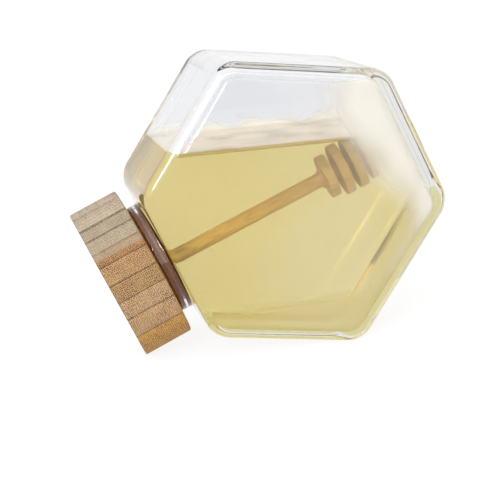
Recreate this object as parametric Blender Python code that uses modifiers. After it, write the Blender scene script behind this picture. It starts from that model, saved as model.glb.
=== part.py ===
"""A six-sided glass honey jar lying on its side, shut with a bamboo lid that carries a wooden honey dipper.

Each piece is modelled upright on the jar's own axis: the origin is on the jar's widest line, the
mouth is at +Z and the two big window faces look along -Y and +Y. An empty then lays everything down,
mouth to -X, until the widest edge of the jar and the rim of the lid both touch the ground. Lengths
are in metres.
"""

import math

import bmesh
import bpy
from mathutils import Matrix

# --- Driving dimensions ---------------------------------------------------------------------------

# The hexagon of the window faces, measured to its sharp corners. It is a little wider than a regular one.
HALF_WIDTH = 0.0585  # at the widest line
SHOULDER_HALF_WIDTH = 0.0292
BASE_HALF_WIDTH = 0.0273
SHOULDER_Z = 0.0475  # above the widest line
BASE_Z = -0.0522  # below it
DEPTH = 0.0575  # between the two window faces
CORNER_RADIUS = 0.0090  # the long edge at the widest line
RIM_RADIUS = 0.0034  # where a window face turns into the narrow sides
WALL = 0.0030
BASE_WALL = 0.0050
INNER_CORNER_RADIUS = 0.0070
INNER_RIM_RADIUS = 0.0040

NECK_RADIUS = 0.0216
BORE_RADIUS = 0.0185
NECK_HEIGHT = 0.0050  # above the shoulder
NECK_FLARE = 0.0015  # fillet between neck and shoulder
FLARE_SINK = 0.0002  # the foot of the flare lies this far under the shoulder
LIP_RADIUS = 0.0010

LID_RADIUS = 0.0295
LID_THICKNESS = 0.0190
LID_EASE = 0.0006  # eased edges of the lid
PLUG_RADIUS = 0.0165
PLUG_LENGTH = 0.0075
DIPPER_HOLE_RADIUS = 0.0031
DIPPER_HOLE_DEPTH = 0.0115  # up into the lid, from the end of the plug

SEAL_INNER_RADIUS = 0.0155
SEAL_HEIGHT = 0.0034
SEAL_BELOW_LID = 0.0014  # from the underside of the lid to the top of the ring
SEAL_RIB_DEPTH = 0.0008

HANDLE_RADIUS = 0.0028
HEAD_START_Z = -0.0186  # middle of the ridge nearest the handle
COLLAR_LENGTH = 0.0012  # the step where the handle meets the head
RIDGE_PITCH = 0.00555
RIDGE_THICKNESS = 0.0037
RIDGE_RADII = (0.0084, 0.0100, 0.0100, 0.0092, 0.0077)
RIDGE_EASE = 0.0005
HEAD_CORE_RADIUS = 0.0038
TIP_LENGTH = 0.0012  # rounded end past the last ridge
DIPPER_DROOP = math.radians(1.0)  # the dipper is loose in its hole, so its head hangs a little

HONEY_LEVEL = 0.0222  # above the jar's origin, once the jar lies down
HONEY_SLOPE = math.radians(1.5)  # thick honey that still creeps level stands higher at the mouth end

GAP = 0.0003  # clearance between pieces that touch
OVERLAP = 0.0050  # how far a helper reaches past what it joins or cuts

# --- Mesh resolution ------------------------------------------------------------------------------

CORNER_STEPS = 6
RIM_STEPS = 3
ROUND_STEPS = 48
DIPPER_STEPS = 24
ARC_STEPS = 4

# --- Derived dimensions ---------------------------------------------------------------------------

# How far the narrow sides lean from the jar's axis, and how far the outline turns at the widest line.
UPPER_SLANT = math.atan((HALF_WIDTH - SHOULDER_HALF_WIDTH) / SHOULDER_Z)
LOWER_SLANT = math.atan((HALF_WIDTH - BASE_HALF_WIDTH) / -BASE_Z)
WIDEST_TURN = UPPER_SLANT + LOWER_SLANT

LIP_Z = SHOULDER_Z + NECK_HEIGHT
LID_BOTTOM_Z = LIP_Z + GAP
LID_TOP_Z = LID_BOTTOM_Z + LID_THICKNESS
PLUG_END_Z = LID_BOTTOM_Z - PLUG_LENGTH
DIPPER_HOLE_TOP_Z = PLUG_END_Z + DIPPER_HOLE_DEPTH
DIPPER_TOP_Z = DIPPER_HOLE_TOP_Z - GAP
DIPPER_PIVOT_Z = PLUG_END_Z + DIPPER_HOLE_DEPTH / 2
SEAL_TOP_Z = LID_BOTTOM_Z - SEAL_BELOW_LID
SEAL_BOTTOM_Z = SEAL_TOP_Z - SEAL_HEIGHT
SEAL_OUTER_RADIUS = BORE_RADIUS - GAP
HONEY_TOP_Z = SEAL_BOTTOM_Z - GAP

# The jar lies on the arc of its widest corner, whose centre is (corner_x, corner_z), and on the rim
# of the lid, whose lowest edge is (lid_x, lid_z). With the mouth dipped by an angle d, the arc reaches
# corner_x * cos(d) + corner_z * sin(d) + CORNER_RADIUS below the origin, and the rim reaches
# lid_x * cos(d) + lid_z * sin(d). The two are equal at DIP.
ARC_SETBACK = CORNER_RADIUS / math.cos(WIDEST_TURN / 2)
CORNER_X = HALF_WIDTH - ARC_SETBACK * math.cos((UPPER_SLANT - LOWER_SLANT) / 2)
CORNER_Z = -ARC_SETBACK * math.sin((UPPER_SLANT - LOWER_SLANT) / 2)
LID_FACET_RADIUS = LID_RADIUS * math.cos(math.pi / ROUND_STEPS)
SPAN_X = CORNER_X - LID_FACET_RADIUS
SPAN_Z = LID_TOP_Z - LID_EASE - CORNER_Z
DIP = math.atan2(SPAN_X, SPAN_Z) + math.asin(CORNER_RADIUS / math.hypot(SPAN_X, SPAN_Z))
ORIGIN_HEIGHT = CORNER_X * math.cos(DIP) + CORNER_Z * math.sin(DIP) + CORNER_RADIUS

# The lying jar's leftmost point is the lid's upper rim, and its rightmost is the arc of the base
# corner above.
BASE_TURN = math.radians(90) - LOWER_SLANT
BASE_CORNER_RADIUS = CORNER_RADIUS * math.tan(WIDEST_TURN / 2) / math.tan(BASE_TURN / 2)
BASE_CORNER_X = BASE_HALF_WIDTH - BASE_CORNER_RADIUS * math.tan(BASE_TURN / 2)
BASE_CORNER_Z = BASE_Z + BASE_CORNER_RADIUS
LEFT_REACH = LID_RADIUS * math.sin(DIP) + LID_TOP_Z * math.cos(DIP)
RIGHT_REACH = BASE_CORNER_X * math.sin(DIP) - BASE_CORNER_Z * math.cos(DIP) + BASE_CORNER_RADIUS
ORIGIN_X = (LEFT_REACH - RIGHT_REACH) / 2


# --- Helpers --------------------------------------------------------------------------------------


def clear_scene():
    for obj in list(bpy.data.objects):
        bpy.data.objects.remove(obj, do_unlink=True)


def new_collection(name):
    collection = bpy.data.collections.new(name)
    bpy.context.scene.collection.children.link(collection)
    return collection


def principled(name, colour, roughness, transmission=0.0, ior=1.5, subsurface=0.0):
    material = bpy.data.materials.new(name)
    material.use_nodes = True
    shader = material.node_tree.nodes["Principled BSDF"]
    shader.inputs["Base Color"].default_value = (*colour, 1.0)
    shader.inputs["Roughness"].default_value = roughness
    shader.inputs["Metallic"].default_value = 0.0
    shader.inputs["Transmission Weight"].default_value = transmission
    shader.inputs["IOR"].default_value = ior
    shader.inputs["Subsurface Weight"].default_value = subsurface
    material.diffuse_color = (*colour, 1.0)
    return material


def add_object(name, mesh, collection, lay, material=None):
    """Puts a mesh on the jar's axis. Without a material it is a helper, kept out of a render."""
    obj = bpy.data.objects.new(name, mesh)
    collection.objects.link(obj)
    obj.parent = lay
    if material is None:
        obj.hide_render = True
        obj.display_type = "WIRE"
    else:
        mesh.materials.append(material)
        mesh.shade_smooth()
        mesh.set_sharp_from_angle(angle=math.radians(35))
    return obj


def boolean(obj, operation, other):
    modifier = obj.modifiers.new(f"{operation.lower()} {other.name}", "BOOLEAN")
    modifier.operation = operation
    modifier.object = other
    modifier.solver = "EXACT"


def bevel(obj, width, steps, limit):
    modifier = obj.modifiers.new(f"bevel {limit.lower()}", "BEVEL")
    modifier.width = width
    modifier.segments = steps
    modifier.limit_method = limit
    modifier.angle_limit = math.radians(45)


def hexagon_corners(wall, base_wall):
    """(half width, height) of the shoulder, widest line and base, for the outline that far inside."""
    upper_shift = wall / math.cos(UPPER_SLANT)
    lower_shift = wall / math.cos(LOWER_SLANT)
    upper_slope = math.tan(UPPER_SLANT)
    lower_slope = math.tan(LOWER_SLANT)
    shoulder_z = SHOULDER_Z - wall
    base_z = BASE_Z + base_wall
    widest_z = (lower_shift - upper_shift) / (upper_slope + lower_slope)
    return {
        "shoulder": (HALF_WIDTH - upper_shift - upper_slope * shoulder_z, shoulder_z),
        "widest": (HALF_WIDTH - upper_shift - upper_slope * widest_z, widest_z),
        "base": (HALF_WIDTH - lower_shift + lower_slope * base_z, base_z),
    }


def hexagonal_block(name, corners, depth, corner_radius, rim_radius, *place):
    """A hexagonal prism along Y, shoulder side up, rounded on its six long edges and on both rims."""
    bm = bmesh.new()
    bmesh.ops.create_cone(
        bm,
        cap_ends=True,
        segments=6,
        radius1=1.0,
        radius2=1.0,
        depth=depth,
        matrix=Matrix.Rotation(math.radians(90), 4, "X") @ Matrix.Rotation(math.radians(30), 4, "Z"),
    )
    # The six corners of the regular prism move to their places on the jar's own outline.
    for vertex in bm.verts:
        level = "widest" if abs(vertex.co.z) < 0.5 else "shoulder" if vertex.co.z > 0 else "base"
        half_width, height = corners[level]
        vertex.co.x = math.copysign(half_width, vertex.co.x)
        vertex.co.z = height
    weight = bm.edges.layers.float.new("bevel_weight_edge")
    for edge in bm.edges:
        start, end = (vertex.co for vertex in edge.verts)
        if abs(start.y - end.y) > depth / 2:
            edge[weight] = 1.0
    bmesh.ops.recalc_face_normals(bm, faces=bm.faces)
    mesh = bpy.data.meshes.new(name)
    bm.to_mesh(mesh)
    bm.free()
    obj = add_object(name, mesh, *place)
    # An arc meets the two sides of its corner at radius * tan(turn / 2) from the edge.
    bevel(obj, corner_radius * math.tan(WIDEST_TURN / 2), CORNER_STEPS, "WEIGHT")
    bevel(obj, rim_radius, RIM_STEPS, "ANGLE")
    return obj


def turned(name, profile, steps, closed, *place):
    """(radius, height) points, top to bottom down the outer side, turned about the jar's axis."""
    count = len(profile)
    edges = [(i, (i + 1) % count) for i in range(count if closed else count - 1)]
    mesh = bpy.data.meshes.new(name)
    mesh.from_pydata([(radius, 0.0, height) for radius, height in profile], edges, [])
    obj = add_object(name, mesh, *place)
    # Half a step round, so that a flat facet and not a ridge faces the ground.
    obj.rotation_euler.z = math.pi / steps
    screw = obj.modifiers.new("turn", "SCREW")
    screw.axis = "Z"
    screw.angle = math.radians(360)
    screw.steps = steps
    screw.render_steps = steps
    screw.use_merge_vertices = True
    screw.merge_threshold = 0.00001
    screw.use_smooth_shade = True
    return obj


def rod(name, radius, top, bottom, *place):
    """A plain turned cylinder."""
    profile = [(0, top), (radius, top), (radius, bottom), (0, bottom)]
    return turned(name, profile, ROUND_STEPS, False, *place)


def arc(centre_r, centre_z, radius, start, end):
    """Points of an arc in the (radius, height) plane, from one angle to another, in degrees."""
    angles = [math.radians(start + (end - start) * i / ARC_STEPS) for i in range(ARC_STEPS + 1)]
    return [(centre_r + radius * math.cos(a), centre_z + radius * math.sin(a)) for a in angles]


# --- The pieces -----------------------------------------------------------------------------------


def neck_profile():
    """The outside of the neck: a rounded lip, a straight stretch and a flare into the shoulder."""
    root = SHOULDER_Z - WALL / 2
    profile = [(0, LIP_Z)]
    profile += arc(NECK_RADIUS - LIP_RADIUS, LIP_Z - LIP_RADIUS, LIP_RADIUS, 90, 0)
    profile += arc(NECK_RADIUS + NECK_FLARE, SHOULDER_Z + NECK_FLARE - FLARE_SINK, NECK_FLARE, 180, 270)
    profile += [(NECK_RADIUS + NECK_FLARE, root), (0, root)]
    return profile


def glass_jar(collection, helpers, lay):
    """The moulded shell: a hollow hexagonal block with a short round neck, open at the mouth."""
    material = principled("jar_glass", (0.93, 0.97, 0.95), 0.03, transmission=1.0, ior=1.5)
    jar = hexagonal_block(
        "glass_jar", hexagon_corners(0, 0), DEPTH, CORNER_RADIUS, RIM_RADIUS, collection, lay, material
    )
    neck = turned("neck_outside", neck_profile(), ROUND_STEPS, False, helpers, lay)
    cavity = hexagonal_block(
        "cavity",
        hexagon_corners(WALL, BASE_WALL),
        DEPTH - 2 * WALL,
        INNER_CORNER_RADIUS,
        INNER_RIM_RADIUS,
        helpers,
        lay,
    )
    bore = rod("bore", BORE_RADIUS, LIP_Z + OVERLAP, SHOULDER_Z - WALL - OVERLAP, helpers, lay)
    boolean(jar, "UNION", neck)
    boolean(jar, "DIFFERENCE", cavity)
    boolean(jar, "DIFFERENCE", bore)


def dipper_profile(grow):
    """The turned dipper: a straight handle and a barrel of ridges, grown by a clearance on all sides."""
    half = RIDGE_THICKNESS / 2 + grow
    handle = HANDLE_RADIUS + grow
    core = HEAD_CORE_RADIUS + grow
    collar_z = HEAD_START_Z + half + COLLAR_LENGTH
    profile = [(0, DIPPER_TOP_Z + grow), (handle, DIPPER_TOP_Z + grow)]
    profile += [(handle, collar_z), (core, collar_z)]
    for number, radius in enumerate(RIDGE_RADII):
        top = HEAD_START_Z - number * RIDGE_PITCH + half
        bottom = top - 2 * half
        outer = radius + grow
        profile += [(core, top), (outer - RIDGE_EASE, top), (outer, top - RIDGE_EASE)]
        profile += [(outer, bottom + RIDGE_EASE), (outer - RIDGE_EASE, bottom), (core, bottom)]
    tip_z = HEAD_START_Z - (len(RIDGE_RADII) - 1) * RIDGE_PITCH - half - TIP_LENGTH
    profile += [(core / 2, tip_z), (0, tip_z)]
    return profile


def dipper_shape(name, grow, *place):
    """The dipper, or the room for it, turned down a little about the middle of its hole."""
    obj = turned(name, dipper_profile(grow), DIPPER_STEPS, False, *place)
    pivot = Matrix.Translation((0, 0, DIPPER_PIVOT_Z))
    droop = Matrix.Rotation(DIPPER_DROOP, 4, "Y")
    obj.matrix_basis = pivot @ droop @ pivot.inverted() @ obj.matrix_basis
    return obj


def dipper(collection, lay):
    material = principled("turned_beech", (0.55, 0.33, 0.15), 0.6)
    dipper_shape("dipper", 0.0, collection, lay, material)


def honey(collection, helpers, lay):
    """Fills the jar to its level, runs up the bore to the seal, and leaves room for the dipper."""
    material = principled("honey", (0.93, 0.70, 0.27), 0.05, transmission=0.9, ior=1.49)
    fill = hexagonal_block(
        "honey",
        hexagon_corners(WALL + GAP, BASE_WALL + GAP),
        DEPTH - 2 * (WALL + GAP),
        INNER_CORNER_RADIUS - GAP,
        INNER_RIM_RADIUS - GAP,
        collection,
        lay,
        material,
    )
    collar = rod("honey_in_bore", BORE_RADIUS - GAP, HONEY_TOP_Z, SHOULDER_Z - WALL - OVERLAP, helpers, lay)
    plug_room = rod("plug_room", PLUG_RADIUS + GAP, LID_BOTTOM_Z, PLUG_END_Z - GAP, helpers, lay)
    dipper_room = dipper_shape("dipper_room", GAP, helpers, lay)
    bm = bmesh.new()
    bmesh.ops.create_cube(bm, size=2 * LID_TOP_Z, matrix=Matrix.Translation((0, 0, LID_TOP_Z)))
    mesh = bpy.data.meshes.new("air")
    bm.to_mesh(mesh)
    bm.free()
    air = add_object("air", mesh, helpers, None)
    air.location = (ORIGIN_X, 0, ORIGIN_HEIGHT + HONEY_LEVEL)
    air.rotation_euler.y = HONEY_SLOPE
    boolean(fill, "UNION", collar)
    boolean(fill, "DIFFERENCE", plug_room)
    boolean(fill, "DIFFERENCE", dipper_room)
    boolean(fill, "DIFFERENCE", air)


def bamboo_lid(collection, lay):
    """A thick disc and its plug, with a groove for the seal and a blind hole for the dipper."""
    material = principled("laminated_bamboo", (0.62, 0.42, 0.22), 0.55)
    groove = SEAL_INNER_RADIUS - GAP
    groove_top = SEAL_TOP_Z + GAP
    groove_bottom = SEAL_BOTTOM_Z - GAP
    profile = [(0, LID_TOP_Z), (LID_RADIUS - LID_EASE, LID_TOP_Z), (LID_RADIUS, LID_TOP_Z - LID_EASE)]
    profile += [(LID_RADIUS, LID_BOTTOM_Z + LID_EASE), (LID_RADIUS - LID_EASE, LID_BOTTOM_Z)]
    profile += [(PLUG_RADIUS, LID_BOTTOM_Z), (PLUG_RADIUS, groove_top), (groove, groove_top)]
    profile += [(groove, groove_bottom), (PLUG_RADIUS, groove_bottom), (PLUG_RADIUS, PLUG_END_Z + LID_EASE)]
    profile += [(PLUG_RADIUS - LID_EASE, PLUG_END_Z), (DIPPER_HOLE_RADIUS, PLUG_END_Z)]
    profile += [(DIPPER_HOLE_RADIUS, DIPPER_HOLE_TOP_Z), (0, DIPPER_HOLE_TOP_Z)]
    turned("bamboo_lid", profile, ROUND_STEPS, False, collection, lay, material)


def seal_ring(collection, lay):
    """A silicone ring in the plug's groove, with two ribs that press on the bore."""
    material = principled("clear_silicone", (0.85, 0.82, 0.72), 0.35, subsurface=0.2)
    rib = SEAL_HEIGHT / 3
    valley = SEAL_OUTER_RADIUS - SEAL_RIB_DEPTH
    profile = [(SEAL_INNER_RADIUS, SEAL_TOP_Z), (SEAL_OUTER_RADIUS, SEAL_TOP_Z)]
    profile += [(SEAL_OUTER_RADIUS, SEAL_TOP_Z - rib), (valley, SEAL_TOP_Z - rib * 1.25)]
    profile += [(valley, SEAL_BOTTOM_Z + rib * 1.25), (SEAL_OUTER_RADIUS, SEAL_BOTTOM_Z + rib)]
    profile += [(SEAL_OUTER_RADIUS, SEAL_BOTTOM_Z), (SEAL_INNER_RADIUS, SEAL_BOTTOM_Z)]
    turned("seal_ring", profile, ROUND_STEPS, True, collection, lay, material)


def build():
    clear_scene()
    jar_parts = new_collection("honey_jar")
    helpers = new_collection("cutters")
    lay = bpy.data.objects.new("lay_down", None)
    jar_parts.objects.link(lay)
    lay.location = (ORIGIN_X, 0, ORIGIN_HEIGHT)
    lay.rotation_euler = (0, -(math.radians(90) + DIP), 0)
    glass_jar(jar_parts, helpers, lay)
    honey(jar_parts, helpers, lay)
    bamboo_lid(jar_parts, lay)
    seal_ring(jar_parts, lay)
    dipper(jar_parts, lay)


build()
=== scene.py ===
# %% [markdown]
# # A six-sided honey jar, lying on its side
#
# The jar is pressed from clear soda-lime glass, filled with pale honey and shut with a thick bamboo lid
# that holds a wooden honey dipper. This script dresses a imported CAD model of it. Every piece here takes its
# place from the same named sizes as the model, so nothing has to be fitted by eye. Lengths are in metres
# throughout.
#
# Glass and honey only look right when light can travel through them as it does in the real jar. So the
# whole lesson is about closed shapes, true wall thickness and honest optics, and less about paint.

import math
import random

import bmesh
import bpy
from mathutils import Matrix, Vector


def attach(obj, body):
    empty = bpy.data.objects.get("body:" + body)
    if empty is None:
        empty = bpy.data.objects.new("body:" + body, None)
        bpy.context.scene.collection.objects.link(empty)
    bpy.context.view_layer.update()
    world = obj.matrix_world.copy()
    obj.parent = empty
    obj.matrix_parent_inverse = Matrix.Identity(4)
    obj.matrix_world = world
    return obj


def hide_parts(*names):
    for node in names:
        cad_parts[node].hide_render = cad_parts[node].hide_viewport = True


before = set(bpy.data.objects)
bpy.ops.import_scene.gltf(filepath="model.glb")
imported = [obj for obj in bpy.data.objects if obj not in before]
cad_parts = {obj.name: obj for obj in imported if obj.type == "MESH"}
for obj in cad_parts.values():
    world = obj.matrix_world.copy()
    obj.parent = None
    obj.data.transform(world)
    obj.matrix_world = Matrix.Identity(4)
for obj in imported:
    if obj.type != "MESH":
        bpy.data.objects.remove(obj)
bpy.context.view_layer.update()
print("CAD nodes:", ", ".join(sorted(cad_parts)))

# %% [markdown]
# ## The jar's own axis
#
# It is easiest to model a jar standing up: the origin sits on its widest line, the mouth points to +Z and
# the two big window faces look along -Y and +Y. When a piece is done, one matrix lays it on its side, mouth
# to the left and a little down, so that it rests on its widest edge and on the rim of the lid. The matrix
# is applied to the mesh, so that each finished object stays at the world origin and its patterns don't
# slide.

# %% Sizes of the outline and of the lying pose
HALF_WIDTH = 0.0585  # half the width at the widest line
SHOULDER_HALF_WIDTH = 0.0292
BASE_HALF_WIDTH = 0.0273
SHOULDER_Z = 0.0475
BASE_Z = -0.0522
DEPTH = 0.0575  # between the two window faces

UPPER_SLANT = math.atan((HALF_WIDTH - SHOULDER_HALF_WIDTH) / SHOULDER_Z)
LOWER_SLANT = math.atan((HALF_WIDTH - BASE_HALF_WIDTH) / -BASE_Z)
WIDEST_TURN = UPPER_SLANT + LOWER_SLANT

DIP = math.radians(21.596)  # how far the mouth points below level
ORIGIN_X = 0.01018
ORIGIN_HEIGHT = 0.05358
LIE_DOWN = Matrix.Translation((ORIGIN_X, 0, ORIGIN_HEIGHT)) @ Matrix.Rotation(
    -(math.radians(90) + DIP), 4, "Y"
)
print("the mouth dips", round(math.degrees(DIP), 1), "degrees")

# %% [markdown]
# ## Camera
#
# Product pictures of glass are taken with a long lens from a little above, which keeps the sides of the jar
# nearly parallel. The lens here is 110 mm on a 36 mm sensor, a good half metre from the jar. It comes first
# because everything after it is judged through it.

# %% Place the camera
CAMERA_PLACE = (-0.10840, -0.52885, 0.16128)
CAMERA_TURN = (76.985, 5.287, -12.252)  # degrees about X, Y and Z

bpy.ops.object.camera_add(location=CAMERA_PLACE, rotation=[math.radians(a) for a in CAMERA_TURN])
camera = bpy.context.object
camera.name = "product_camera"
camera.data.lens = 110.36
camera.data.sensor_width = 36
camera.data.clip_start = 0.01
bpy.context.scene.camera = camera
print("camera is", round(camera.location.length, 3), "m from the origin")

# %% [markdown]
# ## Floor and light
#
# Clear glass has hardly any colour of its own. It shows what is around it, so its surroundings are part of
# the material. Glass is often shown on a sweep of white acrylic that glows from below. So this sweep
# glows nearly as bright as white paper and takes on little light from above: shadows stay pale, and light
# comes up through the honey. Around it stands a white tent. Its back is only as bright as the floor,
# because the bent rims of the glass show that part and would burn out. Its front is up to 2.6 times as
# bright: the rims don't show it, and it lights the wood inside the honey. One small softbox, to the left of
# the camera and above it, adds the crisp highlights that tell the eye where the glass bends. The standard
# view transform keeps white paper white, where a film-like one would turn it grey.

# %% Build the sweep
FLOOR_SIZE = 8.0
FLOOR_WHITE = 0.10  # how much of the light that falls on it the sweep sends back
FLOOR_GLOW = 0.88  # and how much it adds from below

bpy.ops.object.select_all(action="DESELECT")
bpy.ops.mesh.primitive_plane_add(size=FLOOR_SIZE, location=(0, 0, 0))
floor = bpy.context.object
floor.name = "floor"

acrylic = bpy.data.materials.new("glowing_white_acrylic")
acrylic.use_nodes = True
acrylic_look = {
    "Base Color": (FLOOR_WHITE, FLOOR_WHITE, FLOOR_WHITE, 1),
    "Roughness": 0.9,
    "Specular IOR Level": 0.0,
    "Emission Color": (1, 1, 1, 1),
    "Emission Strength": FLOOR_GLOW,
}
for name, value in acrylic_look.items():
    acrylic.node_tree.nodes["Principled BSDF"].inputs[name].default_value = value
floor.data.materials.append(acrylic)
print("floor", FLOOR_SIZE, "m")

# %% Build the tent
TENT_BACK = 1.0  # brightness of the tent behind the jar
TENT_FRONT = 2.6  # and where it is brightest
TENT_BRIGHTEST = Vector((-0.35, -0.9, 0.3)).normalized()  # the way to there: front, left and up

studio = bpy.data.worlds.new("white_studio")
bpy.context.scene.world = studio
studio.use_nodes = True
studio_tree = studio.node_tree
direction = studio_tree.nodes.new("ShaderNodeTexCoord")
frontness = studio_tree.nodes.new("ShaderNodeVectorMath")
frontness.operation = "DOT_PRODUCT"
frontness.inputs[1].default_value = TENT_BRIGHTEST
tent = studio_tree.nodes.new("ShaderNodeMapRange")
tent.interpolation_type = "SMOOTHSTEP"
tent.inputs["To Min"].default_value = TENT_BACK
tent.inputs["To Max"].default_value = TENT_FRONT
studio_tree.links.new(direction.outputs["Generated"], frontness.inputs[0])
studio_tree.links.new(frontness.outputs["Value"], tent.inputs["Value"])
studio_tree.links.new(tent.outputs["Result"], studio_tree.nodes["Background"].inputs["Strength"])
studio_tree.nodes["Background"].inputs["Color"].default_value = (1, 1, 1, 1)
print("the tent is", TENT_FRONT / TENT_BACK, "times as bright in front")

# %% Hang the softbox
SOFTBOX_PLACE = Vector((-0.6, -1.1, 0.55))
SOFTBOX_AIM = Vector((0, 0, 0.05))  # the middle of the lying jar
SOFTBOX_SIZE = 0.45
SOFTBOX_WATTS = 14
bpy.ops.object.light_add(type="AREA", location=SOFTBOX_PLACE)
softbox = bpy.context.object
softbox.name = "softbox"
softbox.data.shape = "SQUARE"
softbox.data.size = SOFTBOX_SIZE
softbox.data.energy = SOFTBOX_WATTS
softbox.rotation_euler = (SOFTBOX_AIM - SOFTBOX_PLACE).to_track_quat("-Z", "Y").to_euler()

bpy.context.scene.view_settings.view_transform = "Standard"
# Light crosses up to a dozen surfaces on its way through the jar, so it is allowed that many turns and more.
limits = bpy.context.scene.cycles
limits.max_bounces = limits.transmission_bounces = 32
limits.glossy_bounces = 16
limits.volume_bounces = 4
print("softbox", softbox.data.size, "m wide, at", SOFTBOX_WATTS, "W")

# %% [markdown]
# ## Small helpers
#
# A few things are needed again and again: to select one piece or none, to pick parts of a mesh by their
# place, to turn a round piece on a lathe, to join or cut with a tool, to lay a piece down, and to finish
# it. The lathe starts from a filled circle, and each further ring is the end cap pulled out along the axis
# and resized, as one would do by hand.


# %% Select
def select_none():
    """Leaves object mode with nothing selected, so that no operator reaches a piece made before."""
    if bpy.context.object and bpy.context.object.mode == "EDIT":
        bpy.ops.object.mode_set(mode="OBJECT")
    bpy.ops.object.select_all(action="DESELECT")


def select_only(piece):
    select_none()
    piece.select_set(True)
    bpy.context.view_layer.objects.active = piece


def pick(kind, test):
    """Selects in edit mode only the vertices, edges or faces of the active mesh that pass the test."""
    piece = bpy.context.object
    bpy.ops.mesh.select_all(action="DESELECT")
    bpy.context.tool_settings.mesh_select_mode = [kind == each for each in ("verts", "edges", "faces")]
    bm = bmesh.from_edit_mesh(piece.data)
    bm.select_mode = {{"verts": "VERT", "edges": "EDGE", "faces": "FACE"}[kind]}
    for element in getattr(bm, kind):
        if test(element):
            element.select_set(True)
    bm.select_flush_mode()
    bmesh.update_edit_mesh(piece.data)


# %% Turn
def turn(name, rings, steps=96):
    """A closed piece turned about Z, from (radius, height) rings, top first, with a cap at both ends."""
    select_none()
    (radius, height), *others = rings
    bpy.ops.mesh.primitive_circle_add(
        vertices=steps, radius=radius, fill_type="NGON", location=(0, 0, height)
    )
    piece = bpy.context.object
    piece.name = name
    bpy.ops.object.transform_apply(location=True)
    bpy.ops.object.mode_set(mode="EDIT")
    bpy.ops.mesh.select_all(action="SELECT")
    for next_radius, next_height in others:
        bpy.ops.mesh.extrude_region_move(TRANSFORM_OT_translate={"value": (0, 0, next_height - height)})
        factor = next_radius / radius
        bpy.ops.transform.resize(value=(factor, factor, 1), center_override=(0, 0, next_height))
        radius, height = next_radius, next_height
    bpy.ops.mesh.select_all(action="SELECT")
    bpy.ops.mesh.normals_make_consistent(inside=False)
    bpy.ops.object.mode_set(mode="OBJECT")
    return piece


# %% Cut, lay down, smooth and finish
def apply_boolean(piece, operation, tool):
    """Joins or cuts the piece with the tool, which is then removed."""
    select_only(piece)
    modifier = piece.modifiers.new(operation.lower(), "BOOLEAN")
    modifier.operation = operation
    modifier.object = tool
    modifier.solver = "EXACT"
    bpy.ops.object.modifier_apply(modifier=modifier.name)
    bpy.data.objects.remove(tool, do_unlink=True)


def lay_down(piece):
    """Turns the upright piece to where it lies, and puts that place in its mesh."""
    select_only(piece)
    piece.matrix_world = LIE_DOWN @ piece.matrix_world
    bpy.ops.object.transform_apply(location=True, rotation=True, scale=True)


def smooth(piece, angle):
    """Smooth shading that keeps edges sharper than the angle, and keeps big flat faces optically flat."""
    select_only(piece)
    bpy.ops.object.shade_smooth_by_angle(angle=math.radians(angle))
    modifier = piece.modifiers.new("flat faces stay flat", "WEIGHTED_NORMAL")
    modifier.keep_sharp = True
    modifier.weight = 100
    bpy.ops.object.modifier_apply(modifier=modifier.name)


def finish_piece(piece, material, slot, *nodes):
    """Gives the piece its material, and tells the frame what it rides on and what it stands for."""
    piece.data.materials.clear()
    piece.data.materials.append(material)
    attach(piece, "root")
    if nodes:
        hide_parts(*nodes)
    triangles = sum(len(p.vertices) - 2 for p in piece.data.polygons)
    print(piece.name, "has", triangles, "triangles")


# %% [markdown]
# ## The six-sided block
#
# The outside of the glass, the hollow inside it and the honey all share one form: a block with six narrow
# sides between two flat windows. By hand it is a box, cut once at its widest line, with the top and the
# bottom pinched in. Then the six long edges are rounded, and after them the rims of both windows. Rounding
# a corner that turns by an angle t with radius r takes away r * tan(t / 2) of each side, which is the width
# that the bevel is given, worked out for the widest corner.


# %% Make the block from its named corners
def outline(wall, base_wall):
    """(half width, height) at the shoulder, the widest line and the base, that far inside the glass."""
    upper_shift = wall / math.cos(UPPER_SLANT)
    lower_shift = wall / math.cos(LOWER_SLANT)
    widest_z = (lower_shift - upper_shift) / (math.tan(UPPER_SLANT) + math.tan(LOWER_SLANT))
    shoulder_z = SHOULDER_Z - wall
    base_z = BASE_Z + base_wall
    return (
        (HALF_WIDTH - upper_shift - math.tan(UPPER_SLANT) * shoulder_z, shoulder_z),
        (HALF_WIDTH - upper_shift - math.tan(UPPER_SLANT) * widest_z, widest_z),
        (HALF_WIDTH - lower_shift + math.tan(LOWER_SLANT) * base_z, base_z),
    )


CORNER_STEPS = 16
RIM_STEPS = 10


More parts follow.
